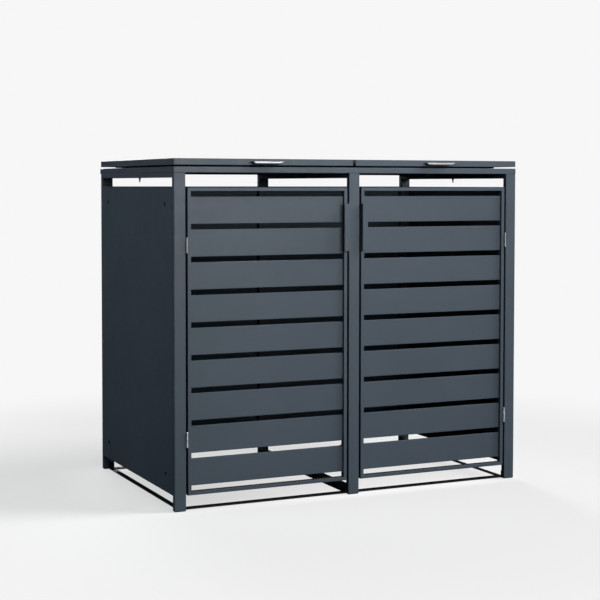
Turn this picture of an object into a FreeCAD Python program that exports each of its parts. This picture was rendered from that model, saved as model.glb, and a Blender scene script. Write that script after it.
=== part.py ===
import FreeCAD, Part
import math
import os
import re
import Sketcher

# Store for two wheelie bins: a frame of steel tube with fixed side and back panels,
# two slatted doors hung on the outer front posts, and two flat lids hinged at the back.
# X runs to the right, Y to the back and Z up. The origin is on the ground, under the
# middle of the store's outline, which runs from the lid handles to the back of the rim.

doc = FreeCAD.newDocument("WheelieBinStore")

# Driving sizes in millimetres
sizes = [
    ("storeWidth", 1320, "over the outer posts"),
    ("storeDepth", 800, "over the front and back posts"),
    ("storeHeight", 1163, "ground to the top of the lids"),
    ("postWidth", 40, "post, side to side"),
    ("postDepth", 20, "post, front to back"),
    ("tubeWall", 1.5, "wall of the frame tubes"),
    ("tubeCorner", 2, "rounding of the frame tubes"),
    ("footHeight", 6, "lip of the foot under a post"),
    ("footRound", 4, "rounding under the foot"),
    ("plugHeight", 7, "foot plug inside the post, under the floor screws"),
    ("plugClearance", 0.2, "around the foot plug"),
    ("rimDepth", 40, "rim tube, across"),
    ("rimHeight", 20, "rim tube, upright"),
    ("rimBackReach", 8, "rim behind the back posts, under the lid hinges"),
    ("topRailHeight", 16, "rails under the rim, front to back"),
    ("clearAbove", 32.5, "air gap over doors and panels"),
    ("clearBelow", 52, "ground to doors and panels"),
    ("panelSheet", 1, "sheet of the fixed panels"),
    ("panelReturn", 14, "folded edge of the fixed panels"),
    ("panelJoint", 0.5, "gap at each end of a fixed panel"),
    ("panelRail", 20, "square rail behind a panel"),
    ("panelRailWall", 1.2, "wall of that rail"),
    ("panelRailTop", 55.5, "panel top down to the upper rail's middle"),
    ("panelRailBottom", 63, "panel bottom up to the lower rail's middle"),
    ("screwInset", 68, "post to the first panel screw"),
    ("screwShank", 4.8, "screw diameter"),
    ("screwHole", 5.2, "hole for a screw"),
    ("screwHead", 9, "screw head diameter"),
    ("screwHeadHeight", 2.4, "screw head height"),
    ("screwHeadEdge", 1, "upright edge of a screw head"),
    ("screwHeadShoulder", 7, "diameter where a screw head turns over"),
    ("screwHeadShoulderHeight", 2, "screw head there"),
    ("screwHeadFlat", 4, "flat top of a screw head"),
    ("screwLength", 8, "screw under the head"),
    ("floorRailLift", 1.5, "ground to the middle floor rail"),
    ("floorRailHeight", 20, "middle floor rail, upright"),
    ("floorBarLift", 0.5, "ground to the side floor bars"),
    ("floorBarSheet", 2.5, "thickness of the floor bars"),
    ("floorBarWidth", 20, "side floor bars"),
    ("crossBarWidth", 24, "front and back floor bars"),
    ("floorTabHeight", 26, "upturned end of a side floor bar"),
    ("crossTabHeight", 14, "upturned end of a front or back floor bar"),
    ("floorScrewHeight", 16, "ground to the floor screws"),
    ("doorGap", 7, "each side of a door"),
    ("doorDepth", 19.7, "door, front to back"),
    ("doorFrameWidth", 12, "visible width of a door's stiles and rails"),
    ("doorFrameWall", 1.2, "wall of the door tubes"),
    ("doorFrameCorner", 1, "rounding of the door tubes"),
    ("slatHeight", 90, "one slat"),
    ("slatRecess", 10, "slat face behind the door's front"),
    ("slatReturn", 8, "folded edge of a slat"),
    ("slatSheet", 1.2, "sheet of a slat"),
    ("foldRound", 1.5, "outside of a fold"),
    ("doorHandleHeight", 163, "handle of a door"),
    ("doorHandleTop", 55.5, "door top down to its handle"),
    ("doorHandleReach", 16, "in front of the door"),
    ("doorHandleFlange", 20, "front of the handle"),
    ("doorHandleSheet", 2, "sheet of the door handle"),
    ("doorHandleGrip", 17, "handle beside the stile"),
    ("hingeLength", 50, "hinge leaf along its pin"),
    ("hingeLeaf", 17.5, "pin to the leaf's edge"),
    ("hingeSheet", 2, "leaf thickness"),
    ("hingeEndKnuckle", 14, "each outer knuckle"),
    ("hingeClearance", 0.3, "beside the middle knuckle"),
    ("hingePin", 3.4, "pin diameter"),
    ("hingeBore", 3.5, "bore of the knuckles"),
    ("hingePinHead", 6, "head of the pin"),
    ("hingePinHeadHeight", 1, "head of the pin"),
    ("doorHingeForward", 1.5, "door pins in front of the posts"),
    ("doorHingeTop", 189.5, "door top down to the upper hinge's middle"),
    ("doorHingeBottom", 185, "door bottom up to the lower hinge's middle"),
    ("catchWidth", 76, "door catch behind both doors"),
    ("catchDepth", 14, "door catch"),
    ("catchHeight", 20, "door catch"),
    ("catchInset", 110, "door edge to the catch's middle"),
    ("catchRound", 2, "corners of the catch"),
    ("lidGap", 6, "rim to lid"),
    ("lidHeight", 21, "lid edge"),
    ("lidSheet", 1.2, "sheet of a lid"),
    ("lidLip", 20, "inward lip under the lid's edge"),
    ("lidSpacing", 10, "between the lids"),
    ("lidCorner", 2, "upright corners of a lid"),
    ("lidEdgeRound", 0.9, "rounding along the top of a lid"),
    ("ribWidth", 40, "stiffening rib under a lid"),
    ("ribInset", 130, "lid edge to the rib's middle"),
    ("ribClearance", 2, "rim to rib, and rib to lip"),
    ("lidHingeInset", 110, "lid side to the hinge's middle"),
    ("lidHandleLength", 111, "pull on a lid"),
    ("lidHandleReach", 24, "pull in front of the lid"),
    ("lidHandleTop", 8, "lid top down to the pull"),
    ("lidHandleLip", 10, "front edge of the pull"),
    ("lidHandleFoot", 12, "pull against the lid's edge"),
    ("lidHandleSheet", 1.5, "sheet of the pull"),
    ("lidHandleCorner", 8, "cut corners of the pull's front"),
    ("bufferDiameter", 16, "rubber buffer under a lid"),
    ("bufferClearance", 0.3, "buffer to lid"),
    ("bufferRound", 1, "edge of the buffer"),
    ("bufferInset", 20, "lid side to the buffer's middle"),
    ("studDiameter", 5.6, "stud of the buffer"),
    ("studHole", 6.2, "hole for the stud"),
    ("studBelow", 16, "stud end under the top rail"),
    ("cutterReach", 1, "cutters past the face they start from"),
]
slatCount = 9

# How near an edge must be to a face to count as on it
tolerance = 1e-3

sheet = doc.addObject("Spreadsheet::Sheet", "Sizes")
for row, (alias, number, note) in enumerate(sizes, start=1):
    sheet.set(f"A{row}", alias)
    sheet.set(f"B{row}", str(number))
    sheet.set(f"C{row}", note)
    sheet.setAlias(f"B{row}", alias)
doc.recompute()

# Places that several pieces share, as formulas of the sizes
rimTop = "(storeHeight - lidHeight - lidGap)"
rimBottom = f"({rimTop} - rimHeight)"
topRailBottom = f"({rimBottom} - topRailHeight)"
panelTop = f"({topRailBottom} - clearAbove)"
panelHeight = f"({panelTop} - clearBelow)"
frontY = "((lidHandleReach - storeDepth - rimBackReach) / 2)"
backY = f"({frontY} + storeDepth)"
rimBackY = f"({backY} + rimBackReach)"
sideX = "(storeWidth / 2)"
outerPostX = "(storeWidth / 2 - postWidth / 2)"
bayWidth = "((storeWidth - 3 * postWidth) / 2)"
doorWidth = f"({bayWidth} - 2 * doorGap)"
frameRun = "(storeDepth - 2 * postDepth)"
doorPinX = "(storeWidth / 2 - postWidth - doorGap / 2)"
doorPinY = f"({frontY} - doorHingeForward)"
lidWidth = "((storeWidth - lidSpacing) / 2)"
lidPinY = f"({backY} + doorGap / 2)"
lidPinZ = f"({rimTop} + doorGap / 2)"
lidBottom = f"({rimTop} + lidGap)"

X = FreeCAD.Vector(1, 0, 0)
Y = FreeCAD.Vector(0, 1, 0)
Z = FreeCAD.Vector(0, 0, 1)

subParts = []


def formula(text):
    """The same formula with each size's name read from the sheet."""
    return re.sub(r"[A-Za-z]\w*", lambda word: "Sizes." + word.group(0), str(text))


def bind(piece, field, text):
    piece.setExpression(field, formula(text))


def place(piece, x, y, z, localX=X, localY=Y):
    """Turns a piece so that its own X and Y axes point as given, and moves its origin."""
    turn = FreeCAD.Rotation(localX, localY, localX.cross(localY), "XYZ")
    piece.Placement = FreeCAD.Placement(FreeCAD.Vector(), turn)
    for axis, text in zip("xyz", (x, y, z)):
        bind(piece, f"Placement.Base.{axis}", text)
    return piece


def subPart(piece, label):
    piece.Label = label
    subParts.append(piece)
    return piece


def originFeature(body, role):
    return [item for item in body.Origin.OriginFeatures if item.Role == role][0]


def newSketch(body, name, role="XY_Plane", lift=None):
    sketch = body.newObject("Sketcher::SketchObject", name)
    sketch.AttachmentSupport = (originFeature(body, role), [""])
    sketch.MapMode = "FlatFace"
    if lift is not None:
        bind(sketch, "AttachmentOffset.Base.z", lift)
    return sketch


def setPoint(sketch, name, geometry, corner, x, y):
    """Fixes one point of a sketch at two formulas."""
    for kind, text in (("DistanceX", x), ("DistanceY", y)):
        rule = Sketcher.Constraint(kind, -1, 1, geometry, corner, 1.0)
        index = sketch.addConstraint(rule)
        sketch.renameConstraint(index, name + kind)
        bind(sketch, f"Constraints.{name}{kind}", text)


def addOutline(sketch, name, points):
    """A closed outline of straight lines through points given as pairs of formulas."""
    count = len(points)
    first = sketch.GeometryCount
    rough = [
        FreeCAD.Vector(math.cos(2 * math.pi * i / count), math.sin(2 * math.pi * i / count), 0)
        for i in range(count)
    ]
    for i in range(count):
        sketch.addGeometry(Part.LineSegment(rough[i], rough[(i + 1) % count]), False)
    for i in range(count):
        following = first + (i + 1) % count
        sketch.addConstraint(Sketcher.Constraint("Coincident", first + i, 2, following, 1))
    for i, (x, y) in enumerate(points):
        setPoint(sketch, f"{name}{i}", first + i, 1, x, y)


def addRectangle(sketch, name, x0, y0, x1, y1):
    addOutline(sketch, name, [(x0, y0), (x1, y0), (x1, y1), (x0, y1)])


def addCentredRectangle(sketch, name, width, depth):
    addRectangle(
        sketch, name, f"-{width} / 2", f"-{depth} / 2", f"{width} / 2", f"{depth} / 2"
    )


def addCircle(sketch, name, x, y, diameter):
    index = sketch.addGeometry(
        Part.Circle(FreeCAD.Vector(0, 0, 0), FreeCAD.Vector(0, 0, 1), 1), False
    )
    setPoint(sketch, name, index, 3, x, y)
    rule = sketch.addConstraint(Sketcher.Constraint("Diameter", index, 2.0))
    sketch.renameConstraint(rule, name + "Diameter")
    bind(sketch, f"Constraints.{name}Diameter", diameter)


def pad(body, sketch, length):
    feature = body.newObject("PartDesign::Pad", sketch.Name + "Pad")
    feature.Profile = sketch
    bind(feature, "Length", length)
    return feature


def roundEdges(body, radius, wanted, kind="Fillet", field="Radius"):
    """Rounds or cuts the edges of a body's last feature that the test picks out."""
    doc.recompute()
    base = body.Tip
    names = [f"Edge{i}" for i, edge in enumerate(base.Shape.Edges, start=1) if wanted(edge)]
    feature = body.newObject("PartDesign::" + kind, body.Name + kind)
    feature.Base = (base, names)
    bind(feature, field, radius)
    return feature


def runsAlong(edge, direction):
    if not isinstance(edge.Curve, Part.Line):
        return False
    return edge.Curve.Direction.cross(direction).Length < tolerance


def isOuterCorner(shape, edge):
    """An edge along Z that stands at a corner of the shape's outline seen from above."""
    box = shape.BoundBox
    at = edge.BoundBox.Center
    nearX = min(abs(at.x - box.XMin), abs(at.x - box.XMax)) < tolerance
    nearY = min(abs(at.y - box.YMin), abs(at.y - box.YMax)) < tolerance
    return runsAlong(edge, Z) and nearX and nearY


def outerCorners(body):
    doc.recompute()
    shape = body.Tip.Shape
    return lambda edge: isOuterCorner(shape, edge)


def tube(name, width, depth, length, wall="tubeWall", corner="tubeCorner"):
    """Rectangular tube, centred on its own Z axis and standing on its own XY plane."""
    body = doc.addObject("PartDesign::Body", name)
    section = newSketch(body, name + "Section")
    addCentredRectangle(section, "outer", width, depth)
    addCentredRectangle(section, "inner", f"({width} - 2 * {wall})", f"({depth} - 2 * {wall})")
    pad(body, section, length)
    roundEdges(body, corner, outerCorners(body))
    return body


def mitredTube(name, length, width, depth, wall, corner):
    """Tube along its own X axis, mitred at both ends, whose shorter side is at Y = width."""

    def outline(body, start, far, reach, lift):
        sketch = newSketch(body, body.Name + "Outline", lift=lift)
        points = [
            (f"{start} - {reach}", start),
            (f"{length} - {start} + {reach}", start),
            (f"{length} - {far} + {reach}", far),
            (f"{far} - {reach}", far),
        ]
        addOutline(sketch, "side", points)
        return sketch

    outer = doc.addObject("PartDesign::Body", name + "Outer")
    pad(outer, outline(outer, "0", width, "0", "0"), depth)
    roundEdges(outer, corner, lambda edge: runsAlong(edge, X))
    inner = doc.addObject("PartDesign::Body", name + "Inner")
    hollow = outline(inner, wall, f"({width} - {wall})", "cutterReach", wall)
    pad(inner, hollow, f"{depth} - 2 * {wall}")
    return drilled(name, outer, [inner])


def channelSection(sketch, depth, height, thickness):
    """Sheet with both long edges folded back: its face is at X = 0 of the sketch."""
    inner = f"({height} - {thickness})"
    points = [
        (0, 0),
        (depth, 0),
        (depth, thickness),
        (thickness, thickness),
        (thickness, inner),
        (depth, inner),
        (depth, height),
        (0, height),
    ]
    addOutline(sketch, "fold", points)


def channel(name, depth, height, thickness, length):
    body = doc.addObject("PartDesign::Body", name)
    section = newSketch(body, name + "Section")
    channelSection(section, depth, height, thickness)
    pad(body, section, length)
    roundEdges(
        body,
        "foldRound",
        lambda edge: runsAlong(edge, Z) and abs(edge.BoundBox.Center.x) < tolerance,
    )
    return body


def turnedBody(name, points):
    """A turned piece: half its section, as radius and height, swept round its Z axis."""
    body = doc.addObject("PartDesign::Body", name)
    section = newSketch(body, name + "Section", role="XZ_Plane")
    addOutline(section, "half", points)
    feature = body.newObject("PartDesign::Revolution", name + "Turn")
    feature.Profile = section
    feature.ReferenceAxis = (originFeature(body, "Z_Axis"), [""])
    feature.Angle = 360
    return body


def block(name, x0, y0, z0, length, width, height):
    piece = doc.addObject("Part::Box", name)
    for field, text in (("Length", length), ("Width", width), ("Height", height)):
        bind(piece, field, text)
    return place(piece, x0, y0, z0)


def rod(name, diameter, length, x=0, y=0, z=0, localX=X, localY=Y):
    piece = doc.addObject("Part::Cylinder", name)
    bind(piece, "Radius", f"{diameter} / 2")
    bind(piece, "Height", length)
    return place(piece, x, y, z, localX, localY)


def joined(name, pieces):
    result = doc.addObject("Part::MultiFuse", name)
    result.Shapes = pieces
    return result


def drilled(name, base, tools):
    """A piece less the given cutters."""
    result = doc.addObject("Part::Cut", name)
    result.Base = base
    result.Tool = tools[0] if len(tools) == 1 else joined(name + "Cutters", tools)
    return result


def copyOf(piece, x, y, z, localX=X, localY=Y):
    link = doc.addObject("App::Link", piece.Name + "Copy")
    link.LinkedObject = piece
    return place(link, x, y, z, localX, localY)


def group(label, members):
    """Like pieces that share one node, each still a solid of its own."""
    result = doc.addObject("Part::Compound", label)
    result.Links = members
    return subPart(result, label)


# Posts, each closed below by a rounded plastic foot
sides = (("left", -1), ("right", 1))
postPlaces = [("left", -1), ("middle", 0), ("right", 1)]
postLength = f"({rimBottom} - footHeight)"
for end, y, inward in (
    ("front", f"{frontY} + postDepth / 2", 1),
    ("back", f"{backY} - postDepth / 2", -1),
):
    for where, sign in postPlaces:
        name = f"{end}_{where}_post"
        post = tube(name + "_tube", "postWidth", "postDepth", postLength)
        x = f"{sign} * {outerPostX}"
        place(post, x, y, "footHeight")
        if sign:
            screwX = f"{sign} * ({sideX} - postWidth + floorBarWidth / 2)"
            cutter = rod(
                name + "_screw_hole", "screwHole", "postDepth / 2", screwX, y,
                "floorScrewHeight", localX=X, localY=Z if inward < 0 else -Z,
            )
            post = drilled(name, post, [cutter])
        subPart(post, name)

foot = doc.addObject("PartDesign::Body", "foot")
lip = newSketch(foot, "footLip")
addCentredRectangle(lip, "lip", "postWidth", "postDepth")
pad(foot, lip, "footHeight")
roundEdges(foot, "tubeCorner", outerCorners(foot))
roundEdges(foot, "footRound", lambda edge: edge.BoundBox.ZMax < tolerance)
plug = newSketch(foot, "footPlug", lift="footHeight")
plugWall = "2 * (tubeWall + plugClearance)"
addCentredRectangle(plug, "plug", f"(postWidth - {plugWall})", f"(postDepth - {plugWall})")
pad(foot, plug, "plugHeight")
group(
    "post_feet",
    [
        copyOf(foot, f"{sign} * {outerPostX}", y, 0)
        for y in (f"{frontY} + postDepth / 2", f"{backY} - postDepth / 2")
        for where, sign in postPlaces
    ],
)

# Rim on top of the posts, mitred at its corners
def studCutter(name, sign):
    """Clears the stud of a lid buffer through the rim and the rail below it."""
    x = f"{sign} * ({sideX} - bufferInset)"
    y = f"({frontY} + {rimBackY}) / 2"
    length = "rimHeight + topRailHeight + 2 * cutterReach"
    return rod(name, "studHole", length, x, y, f"{topRailBottom} - cutterReach")


rimRun = "(storeDepth + rimBackReach)"
for name, length, sign, x, y, localX, localY in (
    ("rim_front", "storeWidth", 0, f"-{sideX}", frontY, X, Y),
    ("rim_right", rimRun, 1, sideX, frontY, Y, -X),
    ("rim_back", "storeWidth", 0, sideX, rimBackY, -X, -Y),
    ("rim_left", rimRun, -1, f"-{sideX}", rimBackY, -Y, X),
):
    piece = mitredTube(name + "_tube", length, "rimDepth", "rimHeight", "tubeWall", "tubeCorner")
    place(piece, x, y, rimBottom, localX, localY)
    if sign:
        piece = drilled(name, piece, [studCutter(name + "_stud_hole", sign)])
    subPart(piece, name)

for where, sign in postPlaces:
    name = f"top_rail_{where}"
    piece = tube(name + "_tube", "postWidth", "topRailHeight", frameRun)
    place(
        piece,
        f"{sign} * {outerPostX}",
        f"{frontY} + postDepth",
        f"{topRailBottom} + topRailHeight / 2",
        localX=X,
        localY=-Z,
    )
    if sign:
        piece = drilled(name, piece, [studCutter(name + "_stud_hole", sign)])
    subPart(piece, name)

# Fixed panels, screwed from outside to square rails that join the posts
railHeights = (
    f"({panelTop} - panelRailTop)",
    "(clearBelow + panelRailBottom)",
)
holeLength = "(panelSheet + 2 * cutterReach)"


def fixedPanel(name, length, x, y, localX):
    """A folded panel whose face is at the given corner, its depth running along localX."""
    panel = channel(name + "_sheet", "panelReturn", panelHeight, "panelSheet", length)
    place(panel, x, y, "clearBelow", localX=localX, localY=Z)
    return panel


def panelRail(name, run):
    """Square rail along its own Z axis, drilled near both ends for the panel screws."""
    rail = tube(name + "Tube", "panelRail", "panelRail", run, wall="panelRailWall")
    cutters = [
        rod(
            f"{name}Hole{i}", "screwHole", "panelRail / 2 + cutterReach",
            "-panelRail / 2 - cutterReach", 0, height, localX=-Z, localY=Y,
        )
        for i, height in enumerate(("screwInset", f"{run} - screwInset"))
    ]
    return drilled(name, rail, cutters)


screwPoints = [
    (0, "-screwLength"),
    ("screwShank / 2", "-screwLength"),
    ("screwShank / 2", 0),
    ("screwHead / 2", 0),
    ("screwHead / 2", "screwHeadEdge"),
    ("screwHeadShoulder / 2", "screwHeadShoulderHeight"),
    ("screwHeadFlat / 2", "screwHeadHeight"),
    (0, "screwHeadHeight"),
]
screw = turnedBody("screw", screwPoints)
screws = []
rails = []

sideRail = panelRail("sideRail", frameRun)
for side, sign in sides:
    name = f"side_panel_{side}"
    inward = X * -sign
    end = f"{backY} - postDepth - panelJoint" if sign < 0 else f"{frontY} + postDepth + panelJoint"
    panel = fixedPanel(name, f"{frameRun} - 2 * panelJoint", f"{sign} * {sideX}", end, inward)
    holes = []
    for level, z in enumerate(railHeights):
        railX = f"{sign} * ({sideX} - panelSheet - panelRail / 2)"
        rails.append(
            copyOf(sideRail, railX, f"{frontY} + postDepth", z, localX=inward,
                   localY=-Z if sign < 0 else Z)
        )
        for near, y in enumerate((f"{frontY} + postDepth + screwInset",
                                  f"{backY} - postDepth - screwInset")):
            holes.append(
                rod(f"{name}_hole{level}{near}", "screwHole", holeLength,
                    f"{sign} * ({sideX} + cutterReach)", y, z, localX=Z * sign, localY=Y)
            )
            screws.append(copyOf(screw, f"{sign} * {sideX}", y, z, localX=-Z * sign, localY=Y))
    subPart(drilled(name, panel, holes), name)

backRail = panelRail("backRail", bayWidth)
for side, sign in sides:
    name = f"back_panel_{side}"
    middle = f"{sign} * (postWidth + {bayWidth}) / 2"
    panelRun = f"({bayWidth} - 2 * panelJoint)"
    panel = fixedPanel(name, panelRun, f"{middle} + {panelRun} / 2", backY, -Y)
    holes = []
    for level, z in enumerate(railHeights):
        railY = f"{backY} - panelSheet - panelRail / 2"
        rails.append(
            copyOf(backRail, f"{middle} - {bayWidth} / 2", railY, z, localX=-Y, localY=-Z)
        )
        for near, inset in enumerate((-1, 1)):
            x = f"{middle} + {inset} * ({bayWidth} / 2 - screwInset)"
            holes.append(
                rod(f"{name}_hole{level}{near}", "screwHole", holeLength, x,
                    f"{backY} + cutterReach", z, localX=X, localY=Z)
            )
            screws.append(copyOf(screw, x, backY, z, localX=X, localY=-Z))
    subPart(drilled(name, panel, holes), name)

group("panel_rails", rails)

# Floor rail between the middle posts, and flat bars round both bays
floorRail = tube("floor_rail_middle", "postWidth", "floorRailHeight", frameRun)
place(
    floorRail, 0, f"{frontY} + postDepth", "floorRailLift + floorRailHeight / 2",
    localX=X, localY=-Z,
)
subPart(floorRail, "floor_rail_middle")

sideBar = doc.addObject("PartDesign::Body", "sideBar")
section = newSketch(sideBar, "sideBarSection")
tabTop = "(floorTabHeight - floorBarLift)"
barEnd = f"({frameRun} - floorBarSheet)"
addOutline(
    section,
    "bar",
    [
        (0, 0),
        (frameRun, 0),
        (frameRun, tabTop),
        (barEnd, tabTop),
        (barEnd, "floorBarSheet"),
        ("floorBarSheet", "floorBarSheet"),
        ("floorBarSheet", tabTop),
        (0, tabTop),
    ],
)
pad(sideBar, section, "floorBarWidth")
barHole = rod(
    "sideBarHole", "screwHole", f"{frameRun} + 2 * cutterReach", "-cutterReach",
    "floorScrewHeight - floorBarLift", "floorBarWidth / 2", localX=-Z, localY=Y,
)
sideBarDrilled = drilled("sideBarDrilled", sideBar, [barHole])
bars = []
for side, sign in sides:
    x = f"{sign} * ({sideX} - postWidth + floorBarWidth / 2)"
    bars.append(
        copyOf(sideBarDrilled, f"{x} - floorBarWidth / 2", f"{frontY} + postDepth",
               "floorBarLift", localX=Y, localY=Z)
    )
    for y, out in (
        (f"{frontY} + postDepth + floorBarSheet", Y),
        (f"{backY} - postDepth - floorBarSheet", -Y),
    ):
        screws.append(copyOf(screw, x, y, "floorScrewHeight", localX=Z, localY=out.cross(Z)))

crossRun = f"({sideX} - postWidth + floorBarWidth - postWidth / 2)"
for side, sign in sides:
    crossBar = doc.addObject("PartDesign::Body", f"crossBar_{side}")
    section = newSketch(crossBar, f"crossBarSection_{side}")
    tabInner = f"{sign} * (postWidth / 2)"
    tabOuter = f"{sign} * (postWidth / 2 + floorBarSheet)"
    farEnd = f"{sign} * (postWidth / 2 + {crossRun})"
    addOutline(
        section,
        "bar",
        [
            (tabInner, 0),
            (farEnd, 0),
            (farEnd, "floorBarSheet"),
            (tabOuter, "floorBarSheet"),
            (tabOuter, "crossTabHeight"),
            (tabInner, "crossTabHeight"),
        ],
    )
    pad(crossBar, section, "crossBarWidth")
    for y in (
        f"{frontY} + postDepth + floorBarSheet + crossBarWidth",
        f"{backY} - postDepth - floorBarSheet",
    ):
        bars.append(copyOf(crossBar, 0, y, "floorBarLift + floorBarSheet", localX=X, localY=Z))
group("floor_bars", bars)
group("frame_screws", screws)

# Three-knuckle hinges: the leaf with two knuckles is fixed, the other one moves
knuckle = "doorGap"
leafX = "-doorGap / 2"
notch = "(doorGap / 2 + hingeClearance)"
middleStart = "(hingeEndKnuckle + hingeClearance)"
middleLength = "(hingeLength - 2 * hingeEndKnuckle - 2 * hingeClearance)"


def hingeHalf(name, knuckles):
    """Leaf along its own Y axis with its pin on its own Z axis, fastened towards -X."""
    pieces = [
        block(name + "Leaf", leafX, notch, 0, "hingeSheet", f"hingeLeaf - {notch}", "hingeLength")
    ]
    for i, (start, length) in enumerate(knuckles):
        pieces.append(block(f"{name}Tab{i}", leafX, 0, start, "hingeSheet", notch, length))
        pieces.append(rod(f"{name}Knuckle{i}", knuckle, length, 0, 0, start))
    bore = rod(name + "Bore", "hingeBore", "hingeLength + 2 * cutterReach", 0, 0, "-cutterReach")
    return drilled(name, joined(name + "Solid", pieces), [bore])


fixedHalf = hingeHalf(
    "fixedHalf", [(0, "hingeEndKnuckle"), ("hingeLength - hingeEndKnuckle", "hingeEndKnuckle")]
)
movingHalf = hingeHalf("movingHalf", [(middleStart, middleLength)])
pinPoints = [
    (0, "-hingePinHeadHeight"),
    ("hingePinHead / 2", "-hingePinHeadHeight"),
    ("hingePinHead / 2", 0),
    ("hingePin / 2", 0),
    ("hingePin / 2", "hingeLength"),
    ("hingePinHead / 2", "hingeLength"),
    ("hingePinHead / 2", "hingeLength + hingePinHeadHeight"),
    (0, "hingeLength + hingePinHeadHeight"),
]
hingePinBody = turnedBody("hingePinTurned", pinPoints)

doorHingeHeights = (
    f"({panelTop} - doorHingeTop - hingeLength / 2)",
    "(clearBelow + doorHingeBottom - hingeLength / 2)",
)
fixedLeaves = []
movingLeaves = {"left": [], "right": []}
lidLeaves = {"left": [], "right": []}
pins = []
for side, sign in sides:
    x = f"{sign} * {doorPinX}"
    for z in doorHingeHeights:
        top = f"{z} + hingeLength"
        fixedZ, movingZ = (z, top) if sign < 0 else (top, z)
        fixedLeaves.append(copyOf(fixedHalf, x, doorPinY, fixedZ, localX=X * -sign))
        movingLeaves[side].append(copyOf(movingHalf, x, doorPinY, movingZ, localX=X * sign))
        pins.append(copyOf(hingePinBody, x, doorPinY, z))
    for inset in ("lidHingeInset", f"({lidWidth} - lidHingeInset)"):
        x = f"{sign} * (lidSpacing / 2 + {inset}) - hingeLength / 2"
        fixedLeaves.append(copyOf(fixedHalf, x, lidPinY, lidPinZ, localX=Z, localY=-Y))
        lidLeaves[side].append(copyOf(movingHalf, x, lidPinY, lidPinZ, localX=Y, localY=Z))
        pins.append(copyOf(hingePinBody, x, lidPinY, lidPinZ, localX=Z, localY=-Y))
group("hinge_fixed_leaves", fixedLeaves)
group("hinge_pins", pins)

# Catches behind the meeting edges of the doors, on the middle post
catch = doc.addObject("PartDesign::Body", "catch")
section = newSketch(catch, "catchSection")
addCentredRectangle(section, "block", "catchWidth", "catchDepth")
pad(catch, section, "catchHeight")
roundEdges(catch, "catchRound", outerCorners(catch))
catchY = f"{frontY} + postDepth + catchDepth / 2"
group(
    "door_catches",
    [
        copyOf(catch, 0, catchY, f"{panelTop} - catchInset - catchHeight / 2"),
        copyOf(catch, 0, catchY, "clearBelow + catchInset - catchHeight / 2"),
    ],
)

# Rubber buffers that the lids rest on, each with a stud through rim and rail
bufferTop = "(lidGap - bufferClearance)"
studEnd = "(rimHeight + topRailHeight + studBelow)"
bufferBody = turnedBody(
    "buffer",
    [
        (0, f"-{studEnd}"),
        ("studDiameter / 2", f"-{studEnd}"),
        ("studDiameter / 2", 0),
        ("bufferDiameter / 2", 0),
        ("bufferDiameter / 2", f"{bufferTop} - bufferRound"),
        ("bufferDiameter / 2 - bufferRound", bufferTop),
        (0, bufferTop),
    ],
)
bufferY = f"({frontY} + {rimBackY}) / 2"
group(
    "lid_buffers",
    [copyOf(bufferBody, f"{sign} * ({sideX} - bufferInset)", bufferY, rimTop)
     for side, sign in sides],
)

# Doors, each a frame of thin tube with slats set back between its stiles
frameInside = f"({panelHeight} - 2 * doorFrameWidth)"
slatGap = f"(({frameInside} - {slatCount} * slatHeight) / {slatCount + 1})"
slatLength = f"({doorWidth} - 2 * doorFrameWidth)"


def door(side, sign):
    middle = f"{sign} * (postWidth + {bayWidth}) / 2"
    left = f"({middle} - {doorWidth} / 2)"
    right = f"({middle} + {doorWidth} / 2)"
    backFace = f"({frontY} + doorDepth)"

    def member(name, length, x, z, localX, localY):
        piece = mitredTube(
            f"{name}_{side}", length, "doorFrameWidth", "doorDepth", "doorFrameWall",
            "doorFrameCorner",
        )
        return place(piece, x, backFace, z, localX, localY)

    group(
        f"door_{side}_stiles",
        [
            member("leftStile", panelHeight, left, panelTop, -Z, X),
            member("rightStile", panelHeight, right, "clearBelow", Z, -X),
        ],
    )
    group(
        f"door_{side}_rails",
        [
            member("topRail", doorWidth, right, panelTop, -X, -Z),
            member("bottomRail", doorWidth, left, "clearBelow", X, Z),
        ],
    )
    slatStart = f"{middle} - {slatLength} / 2"
    for number in range(1, slatCount + 1):
        name = f"door_{side}_slat_{number}"
        slat = channel(name, "slatReturn", "slatHeight", "slatSheet", slatLength)
        top = f"{panelTop} - doorFrameWidth - {number} * ({slatGap} + slatHeight)"
        place(slat, slatStart, f"{frontY} + slatRecess", top, localX=Y, localY=Z)
        subPart(slat, name)


def doorHandle(side, sign):
    """Folded strip beside the free stile: a web and a flange that turns over the door."""
    name = f"door_{side}_handle"
    body = doc.addObject("PartDesign::Body", name)
    section = newSketch(body, name + "Section")
    web = f"{-sign} * doorHandleSheet"
    flange = f"{-sign} * (doorHandleSheet - doorHandleFlange)"
    addOutline(
        section,
        "strip",
        [
            (0, "doorHandleGrip"),
            (web, "doorHandleGrip"),
            (web, "-doorHandleReach"),
            (flange, "-doorHandleReach"),
            (flange, "doorHandleSheet - doorHandleReach"),
            (0, "doorHandleSheet - doorHandleReach"),
        ],
    )
    pad(body, section, "doorHandleHeight")
    doc.recompute()
    box = body.Tip.Shape.BoundBox
    webX = box.XMax if sign < 0 else box.XMin
    roundEdges(
        body,
        "foldRound",
        lambda edge: runsAlong(edge, Z)
        and abs(edge.BoundBox.Center.x - webX) < tolerance
        and edge.BoundBox.YMax < box.YMin + tolerance,
    )
    place(
        body,
        f"{sign} * (postWidth / 2 + doorGap)",
        frontY,
        f"{panelTop} - doorHandleTop - doorHandleHeight",
    )
    subPart(body, name)


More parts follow.
